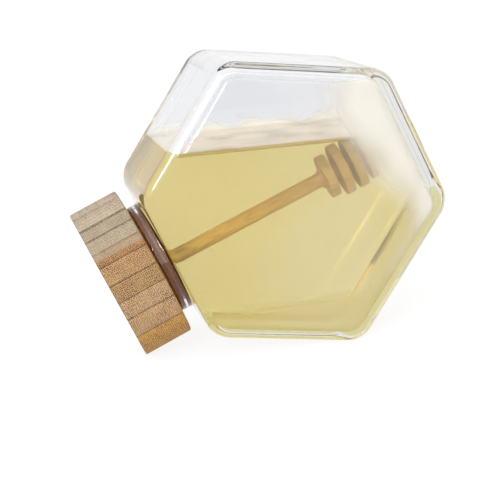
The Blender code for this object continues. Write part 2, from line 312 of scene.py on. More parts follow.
def six_sided_block(name, corners, depth, corner_radius, rim_radius):
    """A block with rounded long edges and window rims, from the (half width, height) of its three levels."""
    (shoulder_half, shoulder_z), (widest_half, widest_z), (base_half, base_z) = corners
    select_none()
    bpy.ops.mesh.primitive_cube_add(size=1, location=(0, 0, (shoulder_z + base_z) / 2))
    piece = bpy.context.object
    piece.name = name
    piece.scale = (2 * widest_half, depth, shoulder_z - base_z)
    bpy.ops.object.transform_apply(location=True, scale=True)
    bpy.ops.object.mode_set(mode="EDIT")
    bpy.ops.mesh.select_all(action="SELECT")
    bpy.ops.mesh.bisect(plane_co=(0, 0, widest_z), plane_no=(0, 0, 1))
    for half, level in ((shoulder_half, shoulder_z), (base_half, base_z)):
        pick("verts", lambda v: abs(v.co.z - level) < 1e-5)
        bpy.ops.transform.resize(value=(half / widest_half, 1, 1), center_override=(0, 0, level))
    pick("edges", lambda e: all(abs(f.normal.y) > 0.9 for f in e.link_faces))
    bpy.ops.mesh.dissolve_edges()  # the cut leaves a line across each window
    pick("edges", lambda e: abs(e.verts[0].co.y - e.verts[1].co.y) > depth / 2)
    width = corner_radius * math.tan(WIDEST_TURN / 2)
    bpy.ops.mesh.bevel(offset=width, offset_type="OFFSET", segments=CORNER_STEPS, profile=0.5, affect="EDGES")
    pick("edges", lambda e: abs(e.verts[0].co.y - e.verts[1].co.y) < depth / 2)
    bpy.ops.mesh.bevel(
        offset=rim_radius, offset_type="OFFSET", segments=RIM_STEPS, profile=0.5, affect="EDGES"
    )
    bpy.ops.object.mode_set(mode="OBJECT")
    return piece


# %% [markdown]
# ## The glass jar
#
# A pressed jar is thick: 3 mm of wall, 5 mm of base, and generous radii where the walls meet, because
# molten glass doesn't fill a sharp corner. Those radii are what draws the jar: flat glass is nearly
# invisible, and the bent rims act as lenses that show the surroundings squeezed into thin light and dark
# lines. So the rims get ten steps each and the flat faces are kept truly flat by weighted normals.
#
# The shell is the block, joined with a turned neck, minus the hollow and minus the bore. Then it is cut,
# without taking anything away, along the honey's surface and along the lower edge of the seal. That gives
# the inner faces that touch honey an edge of their own, and a loop marks those faces as wet. What the mark
# is for comes with the material.

# %% Sizes of the shell, and of what shuts it
WALL = 0.0030
BASE_WALL = 0.0050
CORNER_RADIUS = 0.0090
RIM_RADIUS = 0.0034
INNER_CORNER_RADIUS = 0.0070
INNER_RIM_RADIUS = 0.0040
NECK_RADIUS = 0.0216
BORE_RADIUS = 0.0185
NECK_HEIGHT = 0.0050
LIP_Z = SHOULDER_Z + NECK_HEIGHT
LIP_RADIUS = 0.0010
NECK_FLARE = 0.0015
FLARE_SINK = 0.0002  # the foot of the flare lies this far under the shoulder, so that the join is clean
NECK_ROOT_Z = SHOULDER_Z - WALL / 2
CUT_PAST = 0.0050  # how far a cutting tool reaches past what it cuts

HONEY_LEVEL = 0.0222  # above the jar's origin once it lies down
HONEY_SLOPE = math.radians(1.5)
LEVEL_POINT = Vector((ORIGIN_X, 0, ORIGIN_HEIGHT + HONEY_LEVEL))
LEVEL_NORMAL = Vector((math.sin(HONEY_SLOPE), 0, math.cos(HONEY_SLOPE)))

PLUG_RADIUS = 0.0165
PLUG_LENGTH = 0.0075
CLEAR = 0.0003  # play between the lid and what it touches
LID_BOTTOM_Z = LIP_Z + CLEAR
PLUG_END_Z = LID_BOTTOM_Z - PLUG_LENGTH
SEAL_HEIGHT = 0.0034
SEAL_BELOW_LID = 0.0014
SEAL_TOP_Z = LID_BOTTOM_Z - SEAL_BELOW_LID
SEAL_BOTTOM_Z = SEAL_TOP_Z - SEAL_HEIGHT
print("the lip is", round(1000 * LIP_Z, 1), "mm above the widest line")


# %% Draw arcs, mark faces, measure from the honey
def arc(centre_radius, centre_z, radius, start, end, steps=6):
    """(radius, height) rings along an arc, between two angles in degrees."""
    angles = [math.radians(start + (end - start) * i / steps) for i in range(steps + 1)]
    return [(centre_radius + radius * math.cos(a), centre_z + radius * math.sin(a)) for a in angles]


def mark_faces(piece, name, test):
    """Gives each face a number under that name: 1 where the face passes the test, else 0."""
    marks = piece.data.attributes.new(name, "FLOAT", "FACE")
    for face in piece.data.polygons:
        marks.data[face.index].value = float(test(face))
    marked = sum(mark.value for mark in marks.data)
    print(piece.name, "has", int(marked), "faces marked", name, "of", len(piece.data.polygons))


def above_honey(point):
    """How far the point lies above the honey's surface."""
    return (point - LEVEL_POINT).dot(LEVEL_NORMAL)


# %% Model the shell
jar = six_sided_block("jar_shell", outline(0, 0), DEPTH, CORNER_RADIUS, RIM_RADIUS)
neck = turn(
    "neck",
    arc(NECK_RADIUS - LIP_RADIUS, LIP_Z - LIP_RADIUS, LIP_RADIUS, 90, 0)
    + arc(NECK_RADIUS + NECK_FLARE, SHOULDER_Z + NECK_FLARE - FLARE_SINK, NECK_FLARE, 180, 270)
    + [(NECK_RADIUS + NECK_FLARE, NECK_ROOT_Z)],
)
hollow = six_sided_block(
    "hollow", outline(WALL, BASE_WALL), DEPTH - 2 * WALL, INNER_CORNER_RADIUS, INNER_RIM_RADIUS
)
bore = turn("bore", [(BORE_RADIUS, LIP_Z + CUT_PAST), (BORE_RADIUS, SHOULDER_Z - WALL - CUT_PAST)])
apply_boolean(jar, "UNION", neck)
apply_boolean(jar, "DIFFERENCE", hollow)
apply_boolean(jar, "DIFFERENCE", bore)
lay_down(jar)
seal_point = LIE_DOWN @ Vector((0, 0, SEAL_BOTTOM_Z))
to_lid = LIE_DOWN.to_3x3() @ Vector((0, 0, 1))
bpy.ops.object.mode_set(mode="EDIT")
for point, normal in ((LEVEL_POINT, LEVEL_NORMAL), (seal_point, to_lid)):
    bpy.ops.mesh.select_all(action="SELECT")
    bpy.ops.mesh.bisect(plane_co=point, plane_no=normal)
bpy.ops.object.mode_set(mode="OBJECT")
jar_centre = Vector((ORIGIN_X, 0, ORIGIN_HEIGHT))


def wet(face):
    """A face of the hollow, which looks toward the jar's centre, in the honey and below the seal."""
    inner = face.normal.dot(jar_centre - face.center) > 0
    return inner and above_honey(face.center) < 0 and (face.center - seal_point).dot(to_lid) < 0


mark_faces(jar, "wet", wet)
smooth(jar, 30)

# %% [markdown]
# ## One function for every node
#
# Every material below is a list of nodes, read from top to bottom. One function adds a node, gives it its
# settings and links its inputs. Colours are written as the hex values of a paint chart and turned to the
# linear values that the renderer works in. Patterns are laid out in Object coordinates, which are metres
# here, so every scale is a real size.


# %% Write a colour, start a material
def hex_colour(text):
    """An sRGB hex value as linear red, green, blue and alpha."""
    channels = [int(text[i : i + 2], 16) / 255 for i in (0, 2, 4)]
    return [c / 12.92 if c <= 0.04045 else ((c + 0.055) / 1.055) ** 2.4 for c in channels] + [1.0]


def grey(value):
    return (value, value, value, 1.0)


def new_material(name):
    material = bpy.data.materials.new(name)
    material.use_nodes = True
    material.node_tree.nodes.clear()
    return material


# %% Add a node, end a material
def node(material, kind, links=None, **settings):
    """Adds a node with its settings. A link is a value, an output, or a node for its first output."""
    tree = material.node_tree
    new = tree.nodes.new("ShaderNode" + kind)
    for key, value in settings.items():
        setattr(new, key, value)
    for key, value in (links or {}).items():
        if isinstance(value, bpy.types.Node):
            value = value.outputs[0]
        if isinstance(value, bpy.types.NodeSocket):
            tree.links.new(value, new.inputs[key])
        else:
            new.inputs[key].default_value = value
    return new


def end_material(material, look, body=None):
    """The last nodes: a Principled surface and, for glass and liquids, what fills the space behind it."""
    ends = {"Surface": node(material, "BsdfPrincipled", look)}
    if body is not None:
        ends["Volume"] = body
    node(material, "OutputMaterial", ends)


# %% [markdown]
# ## Pressed soda-lime glass
#
# Soda-lime glass has an index of refraction of about 1.5 and is clear with a trace of green, from iron in
# the sand. Through a 3 mm window the trace doesn't show. Light that runs along a wall crosses 50 mm of
# glass and loses an eighth of its strength there, so the body of the glass absorbs a little and the surface
# stays nearly clear. Pressing leaves the faces very slightly wavy, because the mould's skin isn't optically
# flat. The waves are about 14 mm long and at most 0.04 mm high, and give the reflections their life.
#
# Where honey touches glass there is no bend and no mirror, because their indices differ by only 0.01.
# Cycles doesn't know that a ray comes from glass and not from air, so it would draw both. So the wet faces
# get an index of 1, which lets rays through untouched, and light runs on from glass to honey as in one
# block. Without this the thick edges would look like empty glass instead of gold.
#
# The mould opens in two halves, and where they meet a fine raised seam runs round the narrow sides, midway
# between the windows. It is drawn as a bump 0.6 mm wide, and shows as one thin line.

# %% Make the glass
GLASS_IOR = 1.5
NO_BEND = 1.0
GLASS_WAVE = 0.014
GLASS_WAVE_HEIGHT = 0.00004
SEAM_HALF_WIDTH = 0.00030
SEAM_HEIGHT = 0.00012
# Over a length of d metres, each channel keeps exp(-density * (1 - colour) * d) of its light.
GLASS_TRACE = {"Color": (0.17, 0.21, 0.0, 1), "Density": 3.2}


def index_by_mark(material, name, plain, marked):
    """An index of refraction that differs on the faces with a mark."""
    mark = node(material, "Attribute", attribute_name=name).outputs["Fac"]
    return node(material, "MapRange", {"Value": mark, "To Min": plain, "To Max": marked})


glass = new_material("pressed_soda_lime_glass")
glass_place = node(glass, "TexCoord").outputs["Object"]
glass_axes = node(glass, "SeparateXYZ", {"Vector": glass_place}).outputs
glass_waves = node(
    glass, "TexNoise", {"Vector": glass_place, "Scale": 1 / GLASS_WAVE, "Detail": 1.0, "Roughness": 0.4}
)
wavy = node(glass, "Bump", {"Height": glass_waves, "Distance": GLASS_WAVE_HEIGHT})
off_seam = node(glass, "Math", {0: glass_axes["Y"]}, operation="ABSOLUTE")
seam = node(
    glass,
    "MapRange",
    {"Value": off_seam, "From Min": SEAM_HALF_WIDTH, "From Max": 0.0},
    interpolation_type="SMOOTHSTEP",
)
glass_look = {
    "Base Color": hex_colour("F2F3F6"),
    "Roughness": 0.0,
    "IOR": index_by_mark(glass, "wet", GLASS_IOR, NO_BEND),
    "Transmission Weight": 1.0,
    "Normal": node(glass, "Bump", {"Height": seam, "Distance": SEAM_HEIGHT, "Normal": wavy}),
}
end_material(glass, glass_look, node(glass, "VolumeAbsorption", GLASS_TRACE))
finish_piece(jar, glass, "jar_glass", "glass_jar")

# %% [markdown]
# ## The honey
#
# Honey is thick enough to stand a little higher at one end for hours, and it climbs the glass by almost a
# millimetre where it touches. Its index of refraction, 1.49, is so close to that of glass that the border
# between the two all but vanishes. To get that, the honey reaches 0.2 mm into the wall: a ray then never
# crosses a film of air.
#
# The block is cut at the honey's level. The new top face is then inset a few times, each time a little less
# steeply down, which gives the curved edge where the honey climbs.

# %% Model the honey
INTO_WALL = 0.0002
MENISCUS = ((0.0004, 0.0003), (0.0006, 0.0003), (0.0010, 0.0001), (0.0016, 0.0001))  # inset, drop
LEVEL_MARGIN = 0.0001  # a corner this near the surface counts as on it

honey = six_sided_block(
    "honey_fill",
    outline(WALL - INTO_WALL, BASE_WALL - INTO_WALL),
    DEPTH - 2 * (WALL - INTO_WALL),
    INNER_CORNER_RADIUS + INTO_WALL,
    INNER_RIM_RADIUS + INTO_WALL,
)
in_bore = turn(
    "honey_in_bore",
    [(BORE_RADIUS + INTO_WALL, SEAL_BOTTOM_Z), (BORE_RADIUS + INTO_WALL, SHOULDER_Z - WALL - CUT_PAST)],
)
apply_boolean(honey, "UNION", in_bore)
lay_down(honey)

select_only(honey)
bpy.ops.object.mode_set(mode="EDIT")
bpy.ops.mesh.select_all(action="SELECT")
bpy.ops.mesh.bisect(plane_co=LEVEL_POINT, plane_no=LEVEL_NORMAL, use_fill=True, clear_outer=True)
for inset, drop in MENISCUS:
    bpy.ops.mesh.inset(thickness=inset, depth=-drop)
bpy.ops.object.mode_set(mode="OBJECT")
deepest = sum(drop for inset, drop in MENISCUS) + LEVEL_MARGIN


def open_to_air(face):
    """The faces of the honey's surface: every corner is near its level."""
    corners = (honey.data.vertices[index].co for index in face.vertices)
    return all(-deepest < above_honey(corner) < LEVEL_MARGIN for corner in corners)


mark_faces(honey, "open", open_to_air)
smooth(honey, 40)
print("honey stands", round(1000 * (ORIGIN_HEIGHT + HONEY_LEVEL), 1), "mm above the ground")

# %% [markdown]
# ## Pale honey
#
# Honey gets its colour from depth: a drop on a spoon is nearly clear and a full jar is gold. So its body
# absorbs light, blue far more than red: on the 51.5 mm from window to window, white light loses a seventh
# of its green and half of its blue. The surface adds only a light tint, for the rays that the honey sends
# back before they have gone deep.
#
# Honey is also a little cloudy with pollen and fine air. A second volume shader scatters about one ray in
# four on its way through, which makes the gold glow and softens what hangs deep inside. Only the surface
# that is open to the air bends light; the sides lie in the glass wall and let it through.

# %% Make the honey
HONEY_IOR = 1.49
HONEY_TINT = (1.0, 0.97, 0.66, 1)
HONEY_DEPTH = {"Color": (1.0, 0.88, 0.44, 1), "Density": 26.0}
HONEY_HAZE = {"Color": (1.0, 0.98, 0.93, 1), "Density": 6.0, "Anisotropy": 0.3}

honey_material = new_material("pale_acacia_honey")
honey_look = {
    "Base Color": HONEY_TINT,
    "Roughness": 0.0,
    "IOR": index_by_mark(honey_material, "open", NO_BEND, HONEY_IOR),
    "Transmission Weight": 1.0,
}
clear_gold = node(honey_material, "VolumeAbsorption", HONEY_DEPTH)
haze = node(honey_material, "VolumeScatter", HONEY_HAZE)
end_material(honey_material, honey_look, node(honey_material, "AddShader", {0: clear_gold, 1: haze}))
finish_piece(honey, honey_material, "honey", "honey")

# %% [markdown]
# ## Froth
#
# Stirred honey carries fine air. It rises as a pale froth that lies on the honey, and where the jar was
# tipped it has stayed on the glass: in a wavy band on the back window, on the inside of the base and, thick
# enough to hide the end of the dipper, on the front window near the base. On the front window it is also
# painted light: its cream glow stands in for light scattered in the honey near the base, which veils the
# dipper there. Each patch is a skin 0.6 mm thick, cut from a block like the honey's, so that it fits the
# hollow by itself. Half of it lies in the glass, which puts it in front of the honey.
#
# The two skins of the front window are made a little differently. They are shells of the hollow, with a third
# of their thickness in the glass, so they also follow its rounded rims. The second one is painted light: a
# gold skin that gives the two lower rims the gold of the honey, which the bent glass would otherwise hide
# behind a dark bar.

# %% Cut the skins
SKIN_INTO_WALL = 0.0003
SKIN = 0.0003
HALF_HOLLOW = DEPTH / 2 - WALL
SKIN_MARGIN = 0.0030  # the skins stop short of the rounded rims of the hollow


def hollow_block(name, inset):
    """A block as big as the hollow, made smaller by that much all round."""
    return six_sided_block(
        name,
        outline(WALL + inset, BASE_WALL + inset),
        DEPTH - 2 * (WALL + inset),
        INNER_CORNER_RADIUS - inset,
        INNER_RIM_RADIUS - inset,
    )


def skin(name, low, high, follow_rims=False, into_wall=SKIN_INTO_WALL):
    """The part of the hollow, or of its shell, between two corners given on the jar's own axis."""
    inside = hollow_block(name, -into_wall)
    if follow_rims:
        apply_boolean(inside, "DIFFERENCE", hollow_block("core", 2 * into_wall))
    select_none()
    centre = [(a + b) / 2 for a, b in zip(low, high)]
    bpy.ops.mesh.primitive_cube_add(size=1, location=centre)
    box = bpy.context.object
    box.scale = [b - a for a, b in zip(low, high)]
    bpy.ops.object.transform_apply(location=True, scale=True)
    apply_boolean(inside, "INTERSECT", box)
    lay_down(inside)
    return inside


hollow_base_z = BASE_Z + BASE_WALL
far = HALF_WIDTH
back_froth = skin(
    "froth_on_back_window",
    (-far, HALF_HOLLOW - SKIN, hollow_base_z),
    (far, HALF_HOLLOW + CUT_PAST, SHOULDER_Z),
)
front_corners = (
    (-far, -HALF_HOLLOW - CUT_PAST, hollow_base_z),
    (far, -HALF_HOLLOW + INNER_RIM_RADIUS, SHOULDER_Z),
)
# Froth, and painted light: the cream glow of this skin also stands in for light scattered in the honey near
# the base.
front_froth_and_haze = skin("froth_and_painted_haze_on_front_window", *front_corners, follow_rims=True)
# Painted light: this gold skin paints the honey's gold onto the two lower rims, where the bent glass shows a
# dark bar.
rim_gold_paint = skin(
    "painted_gold_on_front_rim",
    *front_corners,
    follow_rims=True,
    into_wall=SKIN_INTO_WALL / 2,
)
base_froth = skin(
    "froth_on_base",
    (-far, -HALF_HOLLOW + SKIN_MARGIN, hollow_base_z - CUT_PAST),
    (far, HALF_HOLLOW - SKIN_MARGIN, hollow_base_z + SKIN),
)
print("flat skins are", round(1000 * (SKIN + SKIN_INTO_WALL), 2), "mm thick")

# %% [markdown]
# ## What floats, and the edge of the honey
#
# The froth that floats is cut from a block as big as the hollow: a slice from a little below the honey's
# level to just above it. A second slice, cut from a skin and reaching lower, paints the dark golden line
# along the front window. There the honey climbs the glass, and through its curved edge one looks along the
# whole surface instead of across the jar. That line of bent light is one of the strongest marks of a liquid
# in glass, and too fine to leave to chance, so it is painted.


# %% Cut the slices
def slice_level(piece, low, high):
    """Keeps what lies between two heights above the honey's level, both parallel to it."""
    select_only(piece)
    bpy.ops.object.mode_set(mode="EDIT")
    for height, outward in ((high, 1), (low, -1)):
        bpy.ops.mesh.select_all(action="SELECT")
        bpy.ops.mesh.bisect(
            plane_co=(ORIGIN_X, 0, ORIGIN_HEIGHT + HONEY_LEVEL + height),
            plane_no=[outward * part for part in LEVEL_NORMAL],
            use_fill=True,
            clear_outer=True,
        )
    bpy.ops.mesh.select_all(action="SELECT")
    bpy.ops.mesh.normals_make_consistent(inside=False)
    bpy.ops.object.mode_set(mode="OBJECT")


FLOATING = (-0.0004, 0.0002)  # the froth on top, from below the honey's level to above it
EDGE_LINE = (-0.0012, 0.0003)
top_froth = hollow_block("froth_on_honey", 0)
lay_down(top_froth)
slice_level(top_froth, *FLOATING)
# Painted: a dark golden skin for the line that the honey's curved edge shows.
edge_line = skin(
    "painted_honey_edge_line",
    (-far, -HALF_HOLLOW - CUT_PAST, hollow_base_z),
    (far, -HALF_HOLLOW + 2 * SKIN, SHOULDER_Z),
)
slice_level(edge_line, *EDGE_LINE)
print(top_froth.name, "has", len(top_froth.data.polygons), "faces")

# %% [markdown]
# ## Thin honey froth
#
# Froth is millions of tiny bubbles, which scatter light of every colour: it looks like cream. Where the
# skin is thin the honey shows through, so each patch has its own map of how much it covers. The maps need
# no picture. A patch's edge is a simple rule about the place, such as "4 mm above the honey", and a noise
# with waves some 18 mm long moves that edge up and down. A real skin of bubbles also passes on the light
# that comes from behind, which a plain surface can't, so a little emission stands in for that.
#
# A patch is a list of soft edges that are multiplied. Each edge says what it is measured along, where the
# froth begins, where it is full, and how much it covers there. The places are metres on the lying jar. The
# patches of a skin are added up, and for the film on the rims the strongest one holds.

# %% The soft edges of each skin
SLOPE = math.tan(HONEY_SLOPE)
FROTH_LEVEL = ORIGIN_HEIGHT + HONEY_LEVEL
SURFACE = FROTH_LEVEL + SLOPE * ORIGIN_X  # what LEVEL comes to on the honey's surface
LEVEL = {"x": SLOPE, "z": 1.0}
TO_BASE = {"x": 1.0}
UP = {"z": 1.0}
TO_LOWER_RIGHT = {"x": 0.85, "z": -0.52}  # square to the lower right side of the window
ON_WINDOW = ({"y": 1.0}, -HALF_HOLLOW + 0.0035, -HALF_HOLLOW, 1.0)  # gone where the window bends away

# Up to a few millimetres above the honey, a little higher toward the base, and nothing in the honey.
BACK_WINDOW = (
    (
        ({**LEVEL, "waves": -0.012, "near_base": -0.006}, FROTH_LEVEL - 0.0020, FROTH_LEVEL - 0.0070, 0.55),
        (LEVEL, FROTH_LEVEL - 0.0010, FROTH_LEVEL, 1.0),
    ),
)
# All of the base above the honey.
BASE = ((({"z": 1.0, "waves": 0.003}, FROTH_LEVEL - 0.0010, FROTH_LEVEL + 0.0040, 0.5),),)
# A thick patch in the upper corner, a thin veil, a cloud under the handle and mist at the lower right. They
# are froth, and partly painted light scattered in the honey near the base.
FRONT_WINDOW = (
    (
        ({"x": 1.0, "z": 0.8, "waves": 0.006}, 0.086, 0.109, 0.88),
        ({"x": 1.0, "waves": 0.006}, 0.023, 0.041, 1.0),
        (UP, 0.0965, 0.0945, 1.0),
        ON_WINDOW,
    ),
    ((TO_BASE, -0.020, 0.030, 0.08), ON_WINDOW),
    (
        ({"x": -0.45, "z": 1.0}, 0.047, 0.038, 0.055),
        (TO_BASE, -0.016, 0.012, 1.0),
        (TO_BASE, 0.046, 0.034, 1.0),
        ON_WINDOW,
    ),
    ((TO_LOWER_RIGHT, 0.0185, 0.0290, 0.34), (UP, 0.012, 0.030, 1.0), ON_WINDOW),
)
# Painted gold light along the two lower sides of the front window, where it begins to bend away.
LOWER_RIMS = (
    ((UP, 0.0200, 0.0155, 0.5),),
    ((TO_LOWER_RIGHT, 0.0175, 0.0200, 0.5), (UP, 0.060, 0.045, 1.0)),
)
# Everywhere, a little thicker in some places.
ON_HONEY = ((({"waves": 1.0}, 0.0, 0.6, 0.6),),)
# The painted dark line of the honey's edge: strong at the surface, gone a millimetre below it, and lost in
# the froth near the base.
EDGE_OF_HONEY = (
    ((LEVEL, SURFACE + EDGE_LINE[0], SURFACE + EDGE_LINE[0] / 2, 0.8), (TO_BASE, 0.038, 0.025, 1.0)),
)
print(len(FRONT_WINDOW), "patches on the front window")

# %% Make the froth
FROTH_WAVE = 0.018
FROTH_GLOW = 0.55
NEAR_BASE = (0.020, 0.045)  # from where toward the base the froth stands higher, and where it is highest


def skin_material(name, colour, patches, joined_by="ADD"):
    """A soft scattering skin, which hides what is behind it by as much as its patches say together."""
    froth = new_material(name)
    place = node(froth, "TexCoord").outputs["Object"]
    axes = node(froth, "SeparateXYZ", {"Vector": place}).outputs
    near_base = node(
        froth,
        "MapRange",
        {"Value": axes["X"], "From Min": NEAR_BASE[0], "From Max": NEAR_BASE[1]},
        interpolation_type="SMOOTHSTEP",
    )
    measures = {
        "x": axes["X"],
        "y": axes["Y"],
        "z": axes["Z"],
        "waves": node(froth, "TexNoise", {"Vector": place, "Scale": 1 / FROTH_WAVE, "Detail": 1.0}),
        "near_base": near_base,
    }
    cover = 0.0
    for edges in patches:
        share = 1.0
        for along, begins, full, most in edges:
            value = 0.0
            for measure, factor in along.items():
                value = node(
                    froth, "Math", {0: measures[measure], 1: factor, 2: value}, operation="MULTIPLY_ADD"
                )
            edge = node(
                froth,
                "MapRange",
                {"Value": value, "From Min": begins, "From Max": full, "To Max": most},
                interpolation_type="SMOOTHSTEP",
            )
            share = node(froth, "Math", {0: share, 1: edge}, operation="MULTIPLY")
        cover = node(froth, "Math", {0: cover, 1: share}, operation=joined_by)
    look = {
        "Base Color": hex_colour(colour),
        "Roughness": 0.7,
        "Specular IOR Level": 0.0,
        "Emission Color": hex_colour(colour),
        "Emission Strength": FROTH_GLOW,
        "Alpha": cover,
    }
    end_material(froth, look)
    return froth


skins = (
    (back_froth, "froth_film_back", "DED9CA", BACK_WINDOW, "ADD"),
    (base_froth, "froth_film_base", "D2C8B5", BASE, "ADD"),
    (front_froth_and_haze, "froth_and_painted_haze_front", "C8C4BA", FRONT_WINDOW, "ADD"),
    (rim_gold_paint, "painted_gold_on_rim", "B6A873", LOWER_RIMS, "MAXIMUM"),
    (top_froth, "froth_on_top", "DDD2BF", ON_HONEY, "ADD"),
    (edge_line, "painted_dark_honey_edge", "9F8741", EDGE_OF_HONEY, "ADD"),
)
for piece, name, colour, patches, joined_by in skins:
    finish_piece(piece, skin_material(name, colour, patches, joined_by), "honey")

# %% [markdown]
# ## Air bubbles
#
# A few bubbles are too small to rise: 0.2 to 0.5 mm across, most of them near the front window, where one
# sees them. Seen from inside the honey, a bubble is a lens of air. Its index is that of air divided by that
# of honey. One ball is modelled and copied, each copy gets its own size and place from a seeded random
# generator, and then all are joined to one piece.

# %% Scatter the bubbles
BUBBLES = 36
BUBBLE_RADII = (0.00010, 0.00024)
ACROSS_RANGE = (-0.024, 0.012)  # where they float, from and to, on the jar's own axis
HEIGHT_RANGE = (-0.034, 0.036)
NEAREST = 0.0010  # to the glass of the front window
BEHIND_THAT = 0.006  # squared dice keep most of them in the front of this depth
dice = random.Random(11)
bubbles = []
for number in range(BUBBLES):
    select_none()
    if not bubbles:
        bpy.ops.mesh.primitive_ico_sphere_add(subdivisions=2, radius=1.0)
        bubble = bpy.context.object
    else:
        bubble = bubbles[0].copy()
        bubble.data = bubbles[0].data.copy()
        bpy.context.collection.objects.link(bubble)
    radius = dice.uniform(*BUBBLE_RADII)
    height = dice.uniform(*HEIGHT_RANGE)
    across = dice.uniform(*ACROSS_RANGE)
    bubble.location = (across, -HALF_HOLLOW + NEAREST + BEHIND_THAT * dice.random() ** 2, height)
    bubble.scale = (radius, radius, radius)
    bubbles.append(bubble)
select_none()
for bubble in bubbles:
    bubble.select_set(True)
bpy.context.view_layer.objects.active = bubbles[0]
bpy.ops.object.transform_apply(location=True, scale=True)
bpy.ops.object.join()
air = bpy.context.object
air.name = "air_bubbles"
bpy.ops.object.shade_smooth()
lay_down(air)

air_in_honey = new_material("air_in_honey")
air_look = {"Base Color": grey(1.0), "Roughness": 0.0, "IOR": 1 / HONEY_IOR, "Transmission Weight": 1.0}
end_material(air_in_honey, air_look)
finish_piece(air, air_in_honey, "honey")

# %% [markdown]
# ## The bamboo lid
#
# The lid is turned from a board of bamboo strips glued face to face. A lathe makes it: a thick disc with
# lightly eased edges, and under it a plug with a groove for the seal and a blind hole for the dipper's
# handle.

# %% Model the lid
LID_RADIUS = 0.0294
LID_THICKNESS = 0.0190
LID_TOP_Z = LID_BOTTOM_Z + LID_THICKNESS
LID_EASE = 0.0006
SEAL_INNER_RADIUS = 0.0155
DIPPER_HOLE_RADIUS = 0.0031
DIPPER_HOLE_DEPTH = 0.0115
DIPPER_HOLE_TOP_Z = PLUG_END_Z + DIPPER_HOLE_DEPTH

lid = turn(
    "bamboo_lid_turned",
    arc(LID_RADIUS - LID_EASE, LID_TOP_Z - LID_EASE, LID_EASE, 90, 0)
    + arc(LID_RADIUS - LID_EASE, LID_BOTTOM_Z + LID_EASE, LID_EASE, 0, -90)
    + [
        (PLUG_RADIUS, LID_BOTTOM_Z),
        (PLUG_RADIUS, SEAL_TOP_Z + CLEAR),
        (SEAL_INNER_RADIUS - CLEAR, SEAL_TOP_Z + CLEAR),
        (SEAL_INNER_RADIUS - CLEAR, SEAL_BOTTOM_Z - CLEAR),
        (PLUG_RADIUS, SEAL_BOTTOM_Z - CLEAR),
    ]
    + arc(PLUG_RADIUS - LID_EASE, PLUG_END_Z + LID_EASE, LID_EASE, 0, -90)
    + [(DIPPER_HOLE_RADIUS, PLUG_END_Z), (DIPPER_HOLE_RADIUS, DIPPER_HOLE_TOP_Z)],
)
smooth(lid, 35)
lay_down(lid)

# %% [markdown]
# ## Laminated bamboo
#
# The board's strips are mostly 3 to 8 mm thick. All of them run from the front of the lid to its back, so
# the front of the turned rim shows their end grain: hundreds of dark dots, the cut bundles of fibre, 0.7 mm
# apart. Seen from above the same bundles are long streaks. One pattern gives both: cells in the plane of
# the end grain, which go straight through the board. The glue lines are thin and dark, and the strips
# differ in tone because they come from different stalks.
#
# Below the lid's rim the plug is darker and browner.
#
# All patterns are laid out on the jar's own axis, so a Mapping node first turns the lying lid back upright.

# %% Sizes and tones of the strips
BUNDLE_PITCH = 0.00070
BUNDLE_LENGTH = 0.040
GLUE_HALF_WIDTH = 0.00034
DASH_LENGTH = 0.0011  # the glue lines are broken into dashes about this long
PIT_DEPTH = 0.00005
# Where each strip starts, as a share of the diameter from the upper side, with its tone and its glue line.
STRIPS = (
    (0.000, "928371", 0.0),
    (0.013, "908270", 0.35),
    (0.062, "807361", 1.0),
    (0.119, "817561", 1.0),
    (0.191, "7E6C55", 0.6),
    (0.232, "805D39", 0.1),
    (0.269, "876947", 0.85),
    (0.387, "856946", 1.0),
    (0.498, "957959", 1.0),
    (0.618, "9C7E5C", 1.0),
    (0.760, "AD8349", 1.0),
)
print(len(STRIPS), "strips, glue lines", round(2000 * GLUE_HALF_WIDTH, 2), "mm wide")


# %% Turn patterns upright, set the stops of a ramp
# Places of the colour sockets on Blender's Mix node, which repeats their names for each kind of data.
MIX_SHARE, MIX_UNDER, MIX_OVER, MIX_RESULT = 0, 6, 7, 2


def upright(material):
    """The place on the piece, turned back to the jar's own axis."""
    links = {
        "Vector": node(material, "TexCoord").outputs["Object"],
        "Location": (ORIGIN_X, 0, ORIGIN_HEIGHT),
        "Rotation": (0, -(math.radians(90) + DIP), 0),
    }
    return node(material, "Mapping", links, vector_type="TEXTURE")


def set_stops(ramp, stops, interpolation="LINEAR"):
    """Gives a colour ramp its (place, colour) stops."""
    ramp.color_ramp.interpolation = interpolation
    elements = ramp.color_ramp.elements
    while len(elements) < len(stops):
        elements.new(1.0)
    for element, (place, colour) in zip(elements, stops):
        element.position = place
        element.color = colour


# %% The strips and their glue lines
STRIP_WAVE = 0.006
STRIP_WAVER = 0.0004  # how far a glue line strays

bamboo = new_material("sanded_laminated_bamboo")
bamboo_place = upright(bamboo)
bamboo_axes = node(bamboo, "SeparateXYZ", {"Vector": bamboo_place}).outputs
strip_waves = node(bamboo, "TexNoise", {"Vector": bamboo_place, "Scale": 1 / STRIP_WAVE, "Detail": 2.0})
strip_x = node(
    bamboo, "Math", {0: strip_waves, 1: STRIP_WAVER, 2: bamboo_axes["X"]}, operation="MULTIPLY_ADD"
)
centre = STRIP_WAVER / 2
strip_share = node(
    bamboo,
    "MapRange",
    {"Value": strip_x, "From Min": centre + LID_RADIUS, "From Max": centre - LID_RADIUS},
)
strip_tone = node(bamboo, "ValToRGB", {"Fac": strip_share})
set_stops(strip_tone, [(start, hex_colour(tone)) for start, tone, glue in STRIPS], "CONSTANT")

